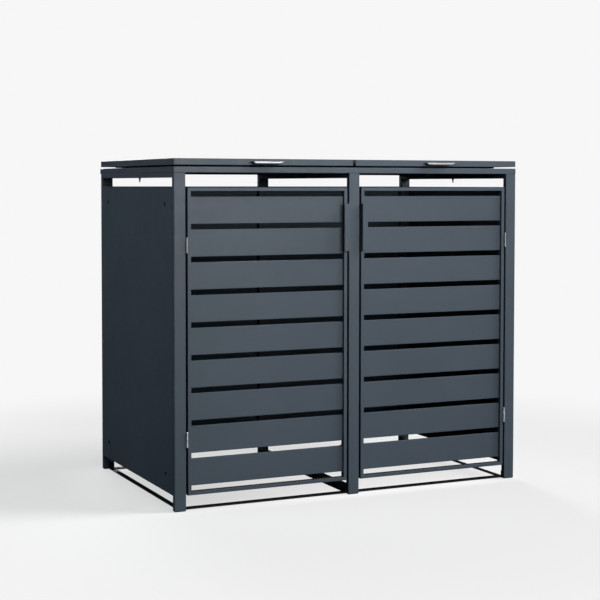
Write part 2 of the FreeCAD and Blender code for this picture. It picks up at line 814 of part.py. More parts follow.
# Lids, each a tray turned upside down with a lip round its open side
def lid(side, sign):
    name = f"lid_{side}"
    body = doc.addObject("PartDesign::Body", name)
    skin = newSketch(body, name + "Skin", lift="lidHeight - lidSheet")
    addCentredRectangle(skin, "outer", lidWidth, "storeDepth")
    pad(body, skin, "lidSheet")
    edge = newSketch(body, name + "Edge")
    addCentredRectangle(edge, "outer", lidWidth, "storeDepth")
    wall = "2 * lidSheet"
    addCentredRectangle(edge, "inner", f"({lidWidth} - {wall})", f"(storeDepth - {wall})")
    pad(body, edge, "lidHeight")
    lip = newSketch(body, name + "Lip")
    addCentredRectangle(lip, "outer", f"({lidWidth} - lidSheet)", "(storeDepth - lidSheet)")
    lips = "2 * lidLip"
    addCentredRectangle(lip, "inner", f"({lidWidth} - {lips})", f"(storeDepth - {lips})")
    pad(body, lip, "lidSheet")
    roundEdges(body, "lidCorner", outerCorners(body))
    doc.recompute()
    top = body.Tip.Shape.BoundBox.ZMax
    roundEdges(body, "lidEdgeRound", lambda one: one.BoundBox.ZMin > top - tolerance)
    middle = f"{sign} * (lidSpacing + {lidWidth}) / 2"
    place(body, middle, f"({frontY} + {backY}) / 2", lidBottom)
    subPart(body, name)

    ribHeight = "(lidHeight - lidSheet + lidGap - ribClearance)"
    ribLength = f"({lidWidth} - 2 * lidLip - 2 * ribClearance)"
    rib = doc.addObject("PartDesign::Body", f"rib_{side}")
    section = newSketch(rib, f"ribSection_{side}")
    inner = "(ribWidth - lidSheet)"
    addOutline(
        section,
        "channel",
        [
            (0, 0),
            ("ribWidth", 0),
            ("ribWidth", ribHeight),
            (inner, ribHeight),
            (inner, "lidSheet"),
            ("lidSheet", "lidSheet"),
            ("lidSheet", ribHeight),
            (0, ribHeight),
        ],
    )
    pad(rib, section, ribLength)
    group(
        f"lid_{side}_ribs",
        [copyOf(rib, f"{middle} - {ribLength} / 2", y, f"{rimTop} + ribClearance",
                localX=Y, localY=Z)
         for y in (f"{frontY} + ribInset - ribWidth / 2",
                   f"{backY} - ribInset - ribWidth / 2")],
    )


def lidHandle(side, sign):
    """Pull folded from sheet: a foot on the lid's edge, a shelf and a downturned front."""
    name = f"lid_{side}_handle"
    body = doc.addObject("PartDesign::Body", name)
    section = newSketch(body, name + "Section")
    addOutline(
        section,
        "fold",
        [
            (0, "-lidHandleFoot"),
            (0, 0),
            ("-lidHandleReach", 0),
            ("-lidHandleReach", "-lidHandleLip"),
            ("lidHandleSheet - lidHandleReach", "-lidHandleLip"),
            ("lidHandleSheet - lidHandleReach", "-lidHandleSheet"),
            ("-lidHandleSheet", "-lidHandleSheet"),
            ("-lidHandleSheet", "-lidHandleFoot"),
        ],
    )
    pad(body, section, "lidHandleLength")
    doc.recompute()
    box = body.Tip.Shape.BoundBox
    roundEdges(
        body,
        "foldRound",
        lambda edge: runsAlong(edge, Z)
        and edge.BoundBox.XMax < box.XMin + tolerance
        and edge.BoundBox.YMin > box.YMax - tolerance,
    )
    roundEdges(
        body,
        "lidHandleCorner",
        lambda edge: runsAlong(edge, X)
        and edge.BoundBox.XMax < box.Center.x
        and edge.BoundBox.YMax < box.Center.y,
        kind="Chamfer",
        field="Size",
    )
    middle = f"{sign} * (lidSpacing + {lidWidth}) / 2"
    place(
        body,
        f"{middle} - lidHandleLength / 2",
        frontY,
        "storeHeight - lidHandleTop",
        localX=Y,
        localY=Z,
    )
    subPart(body, name)


for side, sign in sides:
    door(side, sign)
    doorHandle(side, sign)
    group(f"door_{side}_hinge_leaves", movingLeaves[side])
    lid(side, sign)
    lidHandle(side, sign)
    group(f"lid_{side}_hinge_leaves", lidLeaves[side])

# Build, check every object, and write one file for each sub-part
doc.recompute()
for item in doc.Objects:
    if {"Invalid", "Error"} & set(item.State):
        raise RuntimeError(f"{item.Label}: {item.State}")
os.makedirs("parts", exist_ok=True)
for piece in subParts:
    shape = piece.Shape
    if shape.isNull() or not shape.isValid() or not shape.Solids:
        raise RuntimeError(f"{piece.Label} has no valid solid")
    shape.exportStep(os.path.join("parts", piece.Label + ".step"))
print(f"{len(subParts)} sub-parts written")
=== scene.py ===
import math

import bmesh
import bpy
import numpy as np
from mathutils import Matrix, Vector


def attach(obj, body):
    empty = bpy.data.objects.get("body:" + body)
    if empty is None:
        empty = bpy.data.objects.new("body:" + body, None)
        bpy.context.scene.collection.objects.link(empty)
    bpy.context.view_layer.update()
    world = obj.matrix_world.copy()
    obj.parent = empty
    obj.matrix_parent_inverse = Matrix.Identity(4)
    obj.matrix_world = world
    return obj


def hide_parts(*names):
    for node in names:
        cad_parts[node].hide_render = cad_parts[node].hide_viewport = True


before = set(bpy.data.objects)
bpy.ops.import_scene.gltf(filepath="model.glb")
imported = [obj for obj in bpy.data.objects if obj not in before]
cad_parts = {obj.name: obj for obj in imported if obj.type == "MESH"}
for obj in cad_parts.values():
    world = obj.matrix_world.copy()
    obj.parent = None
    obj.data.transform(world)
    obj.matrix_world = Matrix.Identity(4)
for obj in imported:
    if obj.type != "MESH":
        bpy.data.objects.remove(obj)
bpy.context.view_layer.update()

print("frame loaded:", len(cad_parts), "nodes")

# Lengths are in metres. The store's front looks along -Y and its feet stand at Z = 0.


def cornersOf(node):  # a node's lowest and highest corner, to a hundredth of a millimetre
    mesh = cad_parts[node].data
    points = np.empty(len(mesh.vertices) * 3, np.float32)
    mesh.vertices.foreach_get("co", points)
    points = points.reshape(-1, 3).astype(float)
    return np.array([points.min(axis=0), points.max(axis=0)]).round(5)


rows = ("front", "back")
columns = ("left", "middle", "right")
posts = {(row, column): cornersOf(f"{row}_{column}_post") for column in columns for row in rows}
frontFace = posts["front", "right"][1][1]  # the posts' faces that look into the store
backFace = posts["back", "right"][0][1]
panels = {  # each fixed panel and the way that its outer face looks
    "side_panel_left": "-X",
    "side_panel_right": "X",
    "back_panel_left": "Y",
    "back_panel_right": "Y",
}


def outerFace(node, facing):  # where a panel's outer face stands, and where its two upright edges are
    corners = cornersOf(node)
    looks, runs = (0, 1) if facing.endswith("X") else (1, 0)
    return corners[0 if facing.startswith("-") else 1, looks], corners[:, runs]


def panelSpot(facing, out, along, height=0.0):  # a place by its reach outwards, along the panel and up
    return (out, along, height) if facing.endswith("X") else (along, out, height)


def addNode(tree, kind, at, **values):  # one shader node, its sockets and options set by name
    node = tree.nodes.new(kind)
    node.location = at
    for name, value in values.items():
        if name in node.inputs:
            node.inputs[name].default_value = value
        else:
            setattr(node, name, value)
    return node


def link(tree, source, target):  # a wire from an output to an input
    tree.links.new(source, target)


def newFinish(name, **sockets):  # a Principled material with its plain values set on the shader
    material = bpy.data.materials.new(name)
    material.use_nodes = True
    tree = material.node_tree
    shader = tree.nodes["Principled BSDF"]
    for socket, value in sockets.items():
        shader.inputs[socket.replace("_", " ")].default_value = value
    place = addNode(tree, "ShaderNodeTexCoord", (-1400, 0)).outputs["Object"]
    return material, tree, shader, place


def stretched(tree, place, scale, at=(-1200, 0)):  # the same place, squeezed or drawn out along an axis
    mapping = addNode(tree, "ShaderNodeMapping", at, Scale=scale)
    link(tree, place, mapping.inputs["Vector"])
    return mapping.outputs["Vector"]


def speckle(tree, place, size, at, detail=2.0, rough=0.5):  # noise whose blotches are about size across
    noise = addNode(tree, "ShaderNodeTexNoise", at, Scale=1.0 / size, Detail=detail, Roughness=rough)
    link(tree, place, noise.inputs["Vector"])
    return noise.outputs["Fac"]


def between(tree, amount, low, high, at, fromLow=0.3, fromHigh=0.7):
    # an amount's own range, by default that of most noise, spread evenly over low to high and held at
    # its ends
    spread = addNode(tree, "ShaderNodeMapRange", at)
    spread.inputs["From Min"].default_value = fromLow
    spread.inputs["From Max"].default_value = fromHigh
    spread.inputs["To Min"].default_value = low
    spread.inputs["To Max"].default_value = high
    link(tree, amount, spread.inputs["Value"])
    return spread.outputs["Result"]


def combined(tree, operation, amount, other, at):  # an amount with another amount, or with a plain number
    maths = addNode(tree, "ShaderNodeMath", at, operation=operation)
    link(tree, amount, maths.inputs[0])
    if isinstance(other, float):
        maths.inputs[1].default_value = other
    else:
        link(tree, other, maths.inputs[1])
    return maths.outputs["Value"]


def blended(tree, amount, first, second, at):  # two colours mixed by an amount; the first may be a socket
    mix = addNode(tree, "ShaderNodeMix", at, data_type="RGBA")
    link(tree, amount, mix.inputs["Factor"])
    if isinstance(first, bpy.types.NodeSocket):
        link(tree, first, mix.inputs[6])
    else:
        mix.inputs[6].default_value = (*first, 1)
    mix.inputs[7].default_value = (*second, 1)
    return mix.outputs[2]


def scaled(tree, colour, amount, at):  # a colour times an amount
    product = addNode(tree, "ShaderNodeVectorMath", at, operation="SCALE")
    link(tree, colour, product.inputs[0])
    link(tree, amount, product.inputs["Scale"])
    return product.outputs["Vector"]


def relief(tree, height, depth, at, below=None):  # bump of a real depth, laid over another bump
    bump = addNode(tree, "ShaderNodeBump", at, Distance=depth, Strength=1.0)
    link(tree, height, bump.inputs["Height"])
    if below is not None:
        link(tree, below, bump.inputs["Normal"])
    return bump.outputs["Normal"]


# Powder coat: fine pebbled skin on gently uneven sheet, in two close tones of blue-grey. Edges catch
# the light where the coat rounds over them, and rub a little paler. Enclosed places get painted shade.
coat = {
    "deep": (0.0370, 0.053, 0.0715),
    "light": (0.0430, 0.060, 0.0795),
    "toneSize": 0.25,
    "rubbed": (0.076, 0.096, 0.117),
    "rub": 0.55,  # how much of the rubbed tone a sharp edge takes
    "bend": (0.80, 0.995),  # how closely the rounded normal follows the flat one, at an edge and on a face
    "patch": (0.02, 0.2),  # size of the rubbed patches, and the least that is left between them
    "edge": 0.0009,
    # painted shade: the floor bars' coat is darkened to this share, standing in for the shade under the store
    "floorBarPaintedShade": 0.25,
    "roughness": (0.46, 0.56),
    "glossSize": 0.032,
    "grain": (0.0007, 0.00003),  # size and depth, as for the next two
    "peel": (0.004, 0.00004),
    "wave": (0.30, 0.0010),
    # painted shade: the next four set how enclosed places are painted darker and duller
    "reach": 1.5,  # how far a place looks about to tell whether it is enclosed
    "openness": (0.12, 0.34),  # counted as shut, and as clear
    "shut": 0.80,  # the share of its colour that a shut place keeps
    "specular": (0.10, 0.35),  # when shut, and when clear
}


def wornEdges(tree, place, rounded):
    # worn where the rounded normal leans away from the flat one, thinned by patches
    flat = addNode(tree, "ShaderNodeNewGeometry", (-1400, -500))
    bend = addNode(tree, "ShaderNodeVectorMath", (-1200, -300), operation="DOT_PRODUCT")
    link(tree, rounded, bend.inputs[0])
    link(tree, flat.outputs["True Normal"], bend.inputs[1])
    worn = between(tree, bend.outputs["Value"], coat["rub"], 0, (-1000, -300), *coat["bend"])
    size, least = coat["patch"]
    patches = between(tree, speckle(tree, place, size, (-1000, -100), detail=4), least, 1, (-900, -150))
    return combined(tree, "MULTIPLY", worn, patches, (-800, -300))


def coatFinish(name, waves, paintedShade=1.0):
    # two tones blended by wide noise and rubbed at edges, then darkened where the place is enclosed, as
    # painted shade; the bump is grain over peel over waves over rounded edges
    material, tree, shader, place = newFinish(name)
    # paintedShade darkens the whole coat's colour and specular: painted shade
    deep, light, rubbed = (tuple(np.array(coat[tone]) * paintedShade) for tone in ("deep", "light", "rubbed"))
    rounded = addNode(tree, "ShaderNodeBevel", (-1400, -300), Radius=coat["edge"], samples=6)
    normal = rounded.outputs["Normal"]
    tone = speckle(tree, place, coat["toneSize"], (-900, 300), detail=3)
    colour = blended(tree, between(tree, tone, 0, 1, (-700, 300)), deep, light, (-450, 300))
    colour = blended(tree, wornEdges(tree, place, normal), colour, rubbed, (-200, 300))

    # painted shade: ambient occlusion darkens the colour and dulls the specular of enclosed places
    around = addNode(tree, "ShaderNodeAmbientOcclusion", (-900, 600), Distance=coat["reach"], samples=8)
    openness = around.outputs["AO"]
    recessPaintedShade = between(tree, openness, coat["shut"], 1, (-700, 600), *coat["openness"])
    link(tree, scaled(tree, colour, recessPaintedShade, (0, 300)), shader.inputs["Base Color"])
    dull, clear = (level * paintedShade for level in coat["specular"])
    shine = between(tree, openness, dull, clear, (-700, 800), *coat["openness"])
    link(tree, shine, shader.inputs["Specular IOR Level"])
    gloss = speckle(tree, place, coat["glossSize"], (-900, 0), detail=3)
    link(tree, between(tree, gloss, *coat["roughness"], (-700, 0)), shader.inputs["Roughness"])

    layers = [("peel", 2, -400), ("grain", 1, -600)]
    if waves:
        layers.insert(0, ("wave", 0, -200))
    for layer, detail, down in layers:
        size, depth = coat[layer]
        height = speckle(tree, place, size, (-900, down), detail=detail)
        normal = relief(tree, height, depth, (-450, down), normal)
    link(tree, normal, shader.inputs["Normal"])
    return material


# Zinc: bright plating with faint crystals, painted brighter low down, standing in for the light that the
# lower hinges catch
zinc = {
    "deep": (0.22, 0.225, 0.235),
    "light": (0.31, 0.318, 0.33),
    "crystal": 0.004,
    "roughness": (0.38, 0.52),
    "pit": (0.0006, 0.00002),  # size and depth
    "paler": 2.5,  # times as bright near the ground
    "heights": (0.35, 0.75),  # where the paler zinc begins to fade, and where it is gone
}


def zincFinish(name):  # each crystal cell takes its own tone and gloss; the tone is scaled by height
    material, tree, shader, place = newFinish(name, Metallic=1.0)
    crystal = addNode(tree, "ShaderNodeTexVoronoi", (-900, 300), Scale=1 / zinc["crystal"])
    link(tree, place, crystal.inputs["Vector"])
    cell = addNode(tree, "ShaderNodeSeparateColor", (-700, 300))
    link(tree, crystal.outputs["Color"], cell.inputs["Color"])
    colour = blended(tree, cell.outputs["Red"], zinc["deep"], zinc["light"], (-450, 300))
    parts = addNode(tree, "ShaderNodeSeparateXYZ", (-900, 600))
    link(tree, place, parts.inputs[0])
    # painted light: the zinc's tone is scaled up near the ground
    paler = between(tree, parts.outputs["Z"], zinc["paler"], 1, (-700, 600), *zinc["heights"])
    link(tree, scaled(tree, colour, paler, (-200, 300)), shader.inputs["Base Color"])
    gloss = between(tree, cell.outputs["Green"], *zinc["roughness"], (-450, 0), 0, 1)
    link(tree, gloss, shader.inputs["Roughness"])
    pitSize, pitDepth = zinc["pit"]
    pitted = relief(tree, speckle(tree, place, pitSize, (-700, -300)), pitDepth, (-400, -300))
    link(tree, pitted, shader.inputs["Normal"])
    return material


# Stainless: fine brushing along the pull
stainless = {
    "deep": (0.235, 0.237, 0.24),
    "light": (0.285, 0.288, 0.292),
    "brush": (0.0004, 0.000007),  # size and depth
    "drawn": 60,  # times longer than wide
    "roughness": (0.33, 0.42),
}


def stainlessFinish(name):  # one noise drawn out along X sets the tone, the gloss and the bump
    material, tree, shader, place = newFinish(name, Metallic=1.0, Anisotropic=0.5)
    size, depth = stainless["brush"]
    lines = stretched(tree, place, (1 / stainless["drawn"], 1, 1))
    streak = speckle(tree, lines, size, (-900, 0), detail=3, rough=0.6)
    tone = between(tree, streak, 0, 1, (-700, 300))
    colour = blended(tree, tone, stainless["deep"], stainless["light"], (-450, 300))
    link(tree, colour, shader.inputs["Base Color"])
    link(tree, between(tree, streak, *stainless["roughness"], (-700, 0)), shader.inputs["Roughness"])
    link(tree, relief(tree, streak, depth, (-450, -300)), shader.inputs["Normal"])
    return material


# Moulded plastic and rubber, and the screws' dark finish: a soft grain over a dull surface
footPlastic = {
    "deep": (0.040, 0.048, 0.058),
    "light": (0.050, 0.060, 0.072),
    "blotch": 0.0225,
    "grain": (0.0009, 0.00006),  # size and depth
    "roughness": (0.50, 0.62),
    "shine": 0.4,
}
blackPlastic = {
    "deep": (0.014, 0.015, 0.016),
    "light": (0.022, 0.023, 0.025),
    "blotch": 0.025,
    "grain": (0.0010, 0.00008),
    "roughness": (0.45, 0.60),
    "shine": 0.4,
}
rubber = {
    "deep": (0.012, 0.012, 0.012),
    "light": (0.022, 0.022, 0.021),
    "blotch": 0.035,
    "grain": (0.0014, 0.00010),
    "roughness": (0.70, 0.85),
    "shine": 0.3,
}
darkScrew = {
    "deep": (0.006, 0.007, 0.009),
    "light": (0.012, 0.013, 0.016),
    "blotch": 0.020,
    "grain": (0.0008, 0.00003),
    "roughness": (0.55, 0.68),
    "shine": 0.05,
}


def mouldedFinish(name, look):  # wide noise sets the tone, and fine noise the gloss and the bump
    material, tree, shader, place = newFinish(name, Specular_IOR_Level=look["shine"])
    blotch = between(tree, speckle(tree, place, look["blotch"], (-900, 300), detail=3), 0, 1, (-700, 300))
    colour = blended(tree, blotch, look["deep"], look["light"], (-450, 300))
    link(tree, colour, shader.inputs["Base Color"])
    size, depth = look["grain"]
    grain = speckle(tree, place, size, (-900, 0))
    link(tree, between(tree, grain, *look["roughness"], (-700, 0)), shader.inputs["Roughness"])
    link(tree, relief(tree, grain, depth, (-450, -300)), shader.inputs["Normal"])
    return material


finishes = {
    "sheet": coatFinish("coatedSheet", True),
    "tube": coatFinish("coatedTube", False),
    "bar": coatFinish("coatedFloorBarPaintedShade", False, coat["floorBarPaintedShade"]),
    "zinc": zincFinish("hingeZinc"),
    "stainless": stainlessFinish("brushedStainless"),
    "foot": mouldedFinish("footPlastic", footPlastic),
    "plastic": mouldedFinish("blackPlastic", blackPlastic),
    "rubber": mouldedFinish("bufferRubber", rubber),
    "screw": mouldedFinish("darkScrew", darkScrew),
}
print("finishes made:", len(finishes))

finishByEnding = {
    "floor_bars": "bar",
    "feet": "foot",
    "catches": "plastic",
    "buffers": "rubber",
    "screws": "screw",
    "panel_left": "sheet",
    "panel_right": "sheet",
    "lid_left": "sheet",
    "lid_right": "sheet",
}


def finishOf(node):  # what each kind of node is made of: coated tube, where nothing else is said
    if "hinge" in node:
        return "zinc"
    if "slat" in node:
        return "sheet"
    if node.startswith("lid_") and node.endswith("handle"):
        return "stainless"
    for ending, finish in finishByEnding.items():
        if node.endswith(ending):
            return finish
    return "tube"


for name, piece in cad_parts.items():
    piece.data.materials.clear()
    piece.data.materials.append(finishes[finishOf(name)])


# Shapes. A loft is a stack of closed rings, given as one array of ring, point and place.


def loft(rings):  # skin between neighbouring rings, and a flat lid on the first and the last
    count, around = rings.shape[:2]
    low = np.arange(count - 1)[:, None] * around + np.arange(around)
    turned = np.roll(low, -1, axis=1)
    skin = np.stack([low, turned, turned + around, low + around], axis=-1).reshape(-1, 4)
    ends = [np.arange(around)[::-1], np.arange(around) + (count - 1) * around]
    return rings.reshape(-1, 3), [*skin, *ends]


def lathe(profile, sides=32):  # radius and height pairs turned about Z
    radius, height = np.array(profile, float).T
    turn = np.linspace(0, 2 * np.pi, sides, endpoint=False)
    rings = np.empty((len(radius), sides, 3))
    rings[..., 0] = radius[:, None] * np.cos(turn)
    rings[..., 1] = radius[:, None] * np.sin(turn)
    rings[..., 2] = height[:, None]
    return loft(rings)


def roundedBlock(width, depth, levels, corner, steps=6):
    # a rectangle with quarter-circle corners, shrunk by an inset at each height, where a tenth of the
    # corner always stays; levels are pairs of height and inset
    turn = (np.arange(4 * steps) + 0.5) * (np.pi / 2 / steps)
    height, inset = np.array(levels, float).T
    fillet = np.maximum(corner - inset, corner * 0.1)[:, None]
    rings = np.empty((len(height), len(turn), 3))
    for axis, side, wave in ((0, width, np.cos(turn)), (1, depth, np.sin(turn))):
        rings[..., axis] = np.sign(wave) * (side / 2 - inset[:, None] - fillet) + fillet * wave
    rings[..., 2] = height[:, None]
    return loft(rings)


def roundOver(radius, start, way, steps=6):
    # pairs of height and inset along a quarter circle, from the side to the end
    turn = np.linspace(0, np.pi / 2, steps)
    return np.stack([start + way * radius * np.sin(turn), radius * (1 - np.cos(turn))], axis=1)


layings = {  # where a shape's own X, Y and Z go when its Z is laid along an axis
    "Z": ((1, 0, 0), (0, 1, 0), (0, 0, 1)),
    "X": ((0, 1, 0), (0, 0, 1), (1, 0, 0)),
    "-X": ((0, -1, 0), (0, 0, 1), (-1, 0, 0)),
    "Y": ((-1, 0, 0), (0, 0, 1), (0, 1, 0)),
    "-Y": ((1, 0, 0), (0, 0, 1), (0, -1, 0)),
}


def placed(shape, spot, facing="Z", turn=0):  # a shape turned about its own Z, laid along an axis and moved
    points, faces = shape
    about = np.array(Matrix.Rotation(math.radians(turn), 3, "Z"))
    return points @ about.T @ np.array(layings[facing], float) + np.array(spot, float), faces


def addPiece(name, shapes, finish, body="frame", instead=(), crease=35):
    # one mesh of all the shapes, with its faces turned outwards and its sharp edges kept
    points, faces, start = [], [], 0
    for shapePoints, shapeFaces in shapes:
        points.append(shapePoints)
        faces += [(face + start).tolist() for face in shapeFaces]
        start += len(shapePoints)
    mesh = bpy.data.meshes.new(name)
    mesh.from_pydata(np.concatenate(points).tolist(), [], faces)
    work = bmesh.new()
    work.from_mesh(mesh)
    bmesh.ops.recalc_face_normals(work, faces=work.faces)
    work.to_mesh(mesh)
    work.free()
    mesh.shade_smooth()
    mesh.set_sharp_from_angle(angle=math.radians(crease))
    piece = bpy.data.objects.new(name, mesh)
    bpy.context.scene.collection.objects.link(piece)
    piece.data.materials.append(finishes[finish])
    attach(piece, body)
    for node in instead:
        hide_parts(node)
    return piece


# Screws: a domed head with a six-sided drive sunk in it, on a thin washer
screw = {
    "washer": (0.0070, 0.0006),  # radius and height
    "washerEdge": (0.95, 0.7),  # shares of them where the washer's edge is broken
    "head": (0.0062, 0.0018),
    "domeTurn": 68,  # degrees from the head's rim up to its drive
    "drive": (0.0018, 0.0013),  # radius and depth
    "driveLip": (1.12, 0.0002),  # wider at the mouth by a share, and how deep that reaches
    "shank": (0.0020, 0.0100),
    "fromEdge": 0.0675,  # in from a panel's upright edges
    "aboveFoot": 0.063,
    "belowTop": 0.0555,
    "turns": {"X": 17, "Y": 41, "floor": 8},  # degrees that each drive was left at
    "floorSpot": (0.010, 0.0025, 0.016),  # in from the post's middle, off its face, above the ground
}


def screwShape():  # washer, dome and drive as one turned profile, whose drive rings have six flats
    washer, washerHeight = screw["washer"]
    washerFlat, washerSide = screw["washerEdge"]
    head, rise = screw["head"]
    drive, sunk = screw["drive"]
    mouth, mouthDepth = screw["driveLip"]
    shank, deep = screw["shank"]
    turn = np.linspace(0, math.radians(screw["domeTurn"]), 8)
    dome = np.stack([head * np.cos(turn), washerHeight + rise * np.sin(turn)], axis=1)
    crown = dome[-1, 1]
    profile = [
        (shank, -deep),
        (shank, 0),
        (washer, 0),
        (washer, washerHeight * washerSide),
        (washer * washerFlat, washerHeight),
        *dome.tolist(),
        (drive * mouth, crown),
        (drive, crown - mouthDepth),
        (drive, washerHeight + rise - sunk),
    ]
    points, faces = lathe(profile, sides=36)
    rings = points.reshape(len(profile), -1, 3)
    sector = np.pi / 3
    angle = np.arctan2(rings[-2:, :, 1], rings[-2:, :, 0])
    rings[-2:, :, :2] *= (np.cos(sector / 2) / np.cos(angle % sector - sector / 2))[..., None]
    return rings.reshape(-1, 3), faces


def panelScrews(node, facing, shape):
    # four on a panel's outer face, in from its upright edges, above its foot and below its top
    out, edges = outerFace(node, facing)
    ends = edges + (screw["fromEdge"], -screw["fromEdge"])
    heights = cornersOf(node)[:, 2] + (screw["aboveFoot"], -screw["belowTop"])
    spots = [panelSpot(facing, out, end, z) for z in heights for end in ends]
    return [placed(shape, spot, facing, screw["turns"][facing[-1]]) for spot in spots]


oneScrew = screwShape()
screws = [one for node, facing in panels.items() for one in panelScrews(node, facing, oneScrew)]
inward, offPost, height = screw["floorSpot"]
for column in ("left", "right"):
    x = posts["front", column].mean(axis=0)[0]
    x -= math.copysign(inward, x)
    for y, facing in ((frontFace + offPost, "Y"), (backFace - offPost, "-Y")):
        screws.append(placed(oneScrew, (x, y, height), facing, screw["turns"]["floor"]))
addPiece("screwHeads", screws, "screw", instead=["frame_screws"])
print("screws:", len(screws))

# Feet: moulded caps, rounded where they stand, with a plug up the post
foot = {
    "round": 0.0045,
    "corner": 0.0022,
    "lip": 0.0003,
    "plug": (0.0016, 0.013),  # in from the post's faces, and how high it ends
    "plugEdge": 0.0005,
}


def footShape(width, depth, height):  # a rounded block in the post's own size up to its height, then the plug
    inset, plugTop = foot["plug"]
    levels = [
        *roundOver(foot["round"], foot["round"], -1)[::-1].tolist(),
        (height - foot["lip"], 0),
        (height, foot["lip"]),
        (height, inset),
        (plugTop - foot["plugEdge"], inset),
        (plugTop, inset + foot["plugEdge"]),
    ]
    return roundedBlock(width, depth, levels, foot["corner"])


feet = []
for low, high in posts.values():
    width, depth = (high - low)[:2]
    middle = (low + high) / 2
    feet.append(placed(footShape(width, depth, low[2]), (middle[0], middle[1], 0)))
addPiece("footCaps", feet, "foot", instead=["post_feet"])
print("feet:", len(feet))

# Buffers: a soft disc between lid and rim on a stem that is pushed through, with a tapering tail
buffer = {
    "disc": 0.0080,
    "discEdge": (0.96, 0.0006),  # share of the radius underneath, and how high the edge is full
    "dome": 0.0022,
    "crown": (0.35, 0.0001),  # share of the radius that is flat on top, and how far it lies down
    "stem": 0.0028,
    "barb": (0.0040, 0.0015, 0.0030),  # radius, how high it stays full, and where the stem begins
    "tip": (0.0014, 0.6, 0.0010),  # radius, the share left at the very end, and the height of that end
}


def bufferShape(tipHeight, barbHeight, low, high):  # tail, barb, stem, disc and domed top, from the bottom up
    radius, dome = buffer["disc"], buffer["dome"]
    under, full = buffer["discEdge"]
    crown, down = buffer["crown"]
    barb, barbFull, barbEnd = buffer["barb"]
    tip, tipEnd, tipTall = buffer["tip"]
    turn = np.linspace(0, np.pi / 2, 7)[:-1]
    rounded = np.stack([radius - dome * (1 - np.cos(turn)), high - dome + dome * np.sin(turn)], axis=1)
    profile = [
        (tip * tipEnd, tipHeight),
        (tip, tipHeight + tipTall),
        (barb, barbHeight),
        (barb, barbHeight + barbFull),
        (buffer["stem"], barbHeight + barbEnd),
        (buffer["stem"], low),
        (radius * under, low),
        (radius, low + full),
        *rounded.tolist(),
        (radius * crown, high - down),
    ]
    return lathe(profile, sides=40)


bufferLow, bufferHigh = cornersOf("lid_buffers")
oneBuffer = bufferShape(
    bufferLow[2], cornersOf("top_rail_left")[0][2], cornersOf("rim_left")[1][2], bufferHigh[2]
)
bufferRow = (bufferLow[1] + bufferHigh[1]) / 2
outerColumns = [posts["front", column].mean(axis=0)[0] for column in ("left", "right")]
buffers = [placed(oneBuffer, (x, bufferRow, 0)) for x in outerColumns]
addPiece("lidBuffers", buffers, "rubber", instead=["lid_buffers"])
print("buffers:", len(buffers))

# Lid pulls: sheet bent into a foot, a shelf and a front lip whose lower corners are cut away. The foot
# takes the lid's dark coat, standing in for the shade under the shelf: painted shade.
pull = {
    "lip": 0.0092,
    "cut": 0.0078,
    "sheet": 0.0015,
    "bend": 0.0016,
    "columns": 12,
    "edge": (0.0003, 2, 50),  # bevel's width and segments, and the least angle in degrees
}


def pullSheet(low, high):
    # the bent centre line is a row of corners joined by quarter circles, carried straight across; the lip
    # narrows to its cut end
    half, bend = pull["sheet"] / 2, pull["bend"]
    inner, outer, shelf = high[1] - half, low[1] + half, high[2] - half
    turn = np.linspace(0, np.pi / 2, 6)
    back = np.stack([inner - bend + bend * np.cos(turn), shelf - bend + bend * np.sin(turn)], axis=1)
    front = np.stack([outer + bend - bend * np.sin(turn), shelf - bend + bend * np.cos(turn)], axis=1)
    line = np.concatenate([[(inner, low[2])], back, front, [(outer, high[2] - pull["lip"])]])
    narrow = np.zeros(len(line))
    narrow[-1] = pull["cut"]
    across = np.linspace(-1, 1, pull["columns"] + 1)
    points = np.empty((len(line), len(across), 3))
    points[..., 0] = (low[0] + high[0]) / 2 + across * ((high[0] - low[0]) / 2 - narrow[:, None])
    points[..., 1:] = line[:, None, :]
    around = len(across)
    start = (np.arange(len(line) - 1)[:, None] * around + np.arange(around - 1)).ravel()
    return points.reshape(-1, 3), np.stack([start, start + 1, start + 1 + around, start + around], axis=-1)


def addPull(side):  # the sheet given its wall and broken edges, as two finishes
    node = f"lid_{side}_handle"
    sheet = [pullSheet(*cornersOf(node))]
    piece = addPiece(
        f"lidPull_{side}", sheet, "stainless", body=f"lid_{side}", instead=[node]
    )
    # painted shade: the foot's faces take the dark coat
    piece.data.materials.append(finishes["tube"])
    for face in piece.data.polygons[: pull["columns"]]:
        face.material_index = 1
    wall = piece.modifiers.new("wall", "SOLIDIFY")
    wall.thickness, wall.offset = pull["sheet"], 0
    width, segments, angle = pull["edge"]
    edge = piece.modifiers.new("edge", "BEVEL")
    edge.width, edge.segments, edge.limit_method = width, segments, "ANGLE"
    edge.angle_limit = math.radians(angle)


for side in ("left", "right"):
    addPull(side)
print("lid pulls bent")

# Catches: a moulded housing behind the middle post with a steel plate for each door
catch = {
    "tall": 0.020,
    "corner": 0.003,
    "round": 0.0015,
    "plate": (0.011, 0.013, 0.0018),  # width, height and thickness
    "plateCorner": 0.001,
    "plateEdge": 0.0005,
    "proud": 0.0010,  # how far the plates stand out of the housing
    "plateSpots": (-0.0305, 0.0305),
}
catchLow, catchHigh = cornersOf("door_catches")
catchWidth, catchDepth = (catchHigh - catchLow)[:2]
catchHeights = (catchLow[2] + catch["tall"] / 2, catchHigh[2] - catch["tall"] / 2)
catchLevels = [
    *roundOver(catch["round"], catch["round"], -1)[::-1].tolist(),
    *roundOver(catch["round"], catchDepth - catch["proud"] - catch["round"], 1).tolist(),
]
plateWidth, plateTall, plateThick = catch["plate"]
plateLevels = [(0, 0), (plateThick - catch["plateEdge"], 0), (plateThick, catch["plateEdge"])]
housing = roundedBlock(catchWidth, catch["tall"], catchLevels, catch["corner"])
plate = roundedBlock(plateWidth, plateTall, plateLevels, catch["plateCorner"])
housings = [placed(housing, (0, catchHigh[1], z), "-Y") for z in catchHeights]
